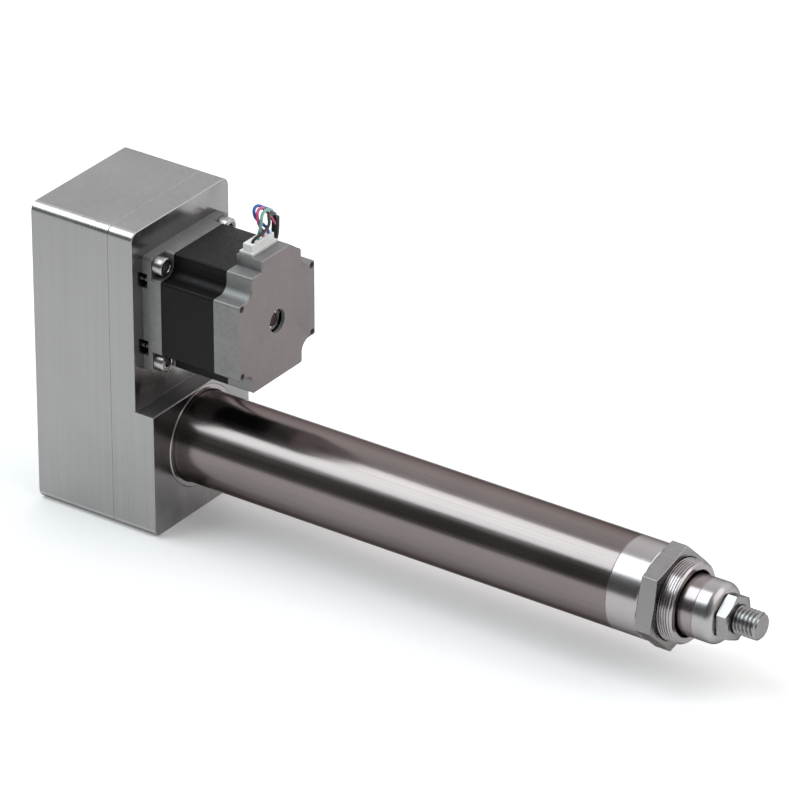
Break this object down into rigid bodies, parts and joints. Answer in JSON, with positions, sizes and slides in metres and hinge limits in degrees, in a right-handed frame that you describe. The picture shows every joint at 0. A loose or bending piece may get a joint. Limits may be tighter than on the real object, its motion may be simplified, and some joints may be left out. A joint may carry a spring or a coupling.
{
  "type": "electric rod actuator",
  "caption": "Electric rod actuator: a rod with a threaded stud slides out of a round tube, driven by a stepper motor mounted beside the tube on a belt housing",
  "frame": {"origin": "on the rod axis, in the middle of the nose thread that is free in front of the mounting nut", "axes": "+X along the rod, the way it extends; +Z from the rod axis to the motor's axis; +Y completes the right-handed frame"},
  "size_m": [0.3596, 0.1093, 0.159],
  "materials": {
    "housing_metal": "brushed",
    "tube_steel": "polished along its length",
    "head_metal": "turned",
    "zinc_steel": "zinc plated",
    "rod_steel": "ground",
    "motor_metal": "cast and machined",
    "lamination_black": "satin black",
    "screw_steel": "plated",
    "bearing_steel": "polished",
    "bronze": "turned",
    "copper": "enamelled wire",
    "magnet_grey": "ground",
    "black_rubber": "matt",
    "seal_black": "satin",
    "guide_plastic": "matt",
    "connector_white": "matt",
    "lead_blue": "satin",
    "lead_red": "satin",
    "lead_green": "satin",
    "lead_black": "satin",
    "sleeve_black": "matt"
  },
  "bodies": {
    "housing": {"rear_housing": "housing_metal", "front_housing": "housing_metal", "housing_screws": "screw_steel", "tube_collar": "head_metal", "outer_tube": "tube_steel", "front_head": "head_metal", "head_seal_ring": "seal_black", "rod_bushing": "guide_plastic", "rod_seal": "seal_black", "rod_wiper": "seal_black", "mounting_nut": "zinc_steel", "rear_bumper": "black_rubber", "front_bumper": "black_rubber", "bearing_retainer": "head_metal", "retainer_screws": "screw_steel", "screw_bearing_outer_rings": "bearing_steel", "screw_bearing_balls": "bearing_steel", "motor_front_bell": "motor_metal", "stator_core": "lamination_black", "stator_windings": "copper", "motor_rear_cap": "motor_metal", "motor_mount_screws": "screw_steel", "motor_through_bolts": "screw_steel", "motor_bearing_outer_rings": "bearing_steel", "motor_bearing_balls": "bearing_steel", "wave_washer": "bearing_steel", "connector_header": "connector_white", "header_pins": "bronze", "connector_plug": "connector_white", "lead_blue": "lead_blue", "lead_red": "lead_red", "lead_green": "lead_green", "lead_black": "lead_black", "cable_sleeve": "sleeve_black", "cable_coil": "sleeve_black", "coil_ties": "black_rubber", "cable_end_plug": "connector_white", "timing_belt": "black_rubber"},
    "screw": {"lead_screw": "rod_steel", "driven_pulley": "head_metal", "pulley_key": "screw_steel", "pulley_spacer": "screw_steel", "screw_lock_nut": "screw_steel", "screw_bearing_inner_rings": "bearing_steel", "screw_tip_bushing": "guide_plastic", "screw_tip_screw": "screw_steel"},
    "rod": {"nut_carrier": "head_metal", "lead_nut": "bronze", "nut_lock_ring": "screw_steel", "carrier_guide_ring": "guide_plastic", "position_magnet": "magnet_grey", "thrust_rod": "rod_steel", "rod_end_cap": "rod_steel", "rod_stud": "zinc_steel", "jam_nut": "zinc_steel"},
    "rotor": {"motor_shaft": "rod_steel", "rotor_core": "magnet_grey", "drive_pulley": "head_metal", "pulley_set_screws": "screw_steel", "motor_bearing_inner_rings": "bearing_steel"}
  },
  "joints": [
    {"name": "motor_spin", "type": "hinge", "parent": "housing", "child": "rotor", "pos_m": [-0.23, 0, 0.07], "axis": [1, 0, 0], "range_deg": [0, 4320]},
    {"name": "screw_spin", "type": "hinge", "parent": "housing", "child": "screw", "pos_m": [-0.23, 0, 0], "axis": [1, 0, 0], "range_deg": [0, 4320]},
    {"name": "rod_extend", "type": "slide", "parent": "housing", "child": "rod", "axis": [1, 0, 0], "range_m": [0, 0.1524]}
  ],
  "couplings": [
    {"joint": "screw_spin", "follows": "rod_extend", "rad_per_m": 494.74},
    {"joint": "motor_spin", "follows": "rod_extend", "rad_per_m": 494.74}
  ]
}
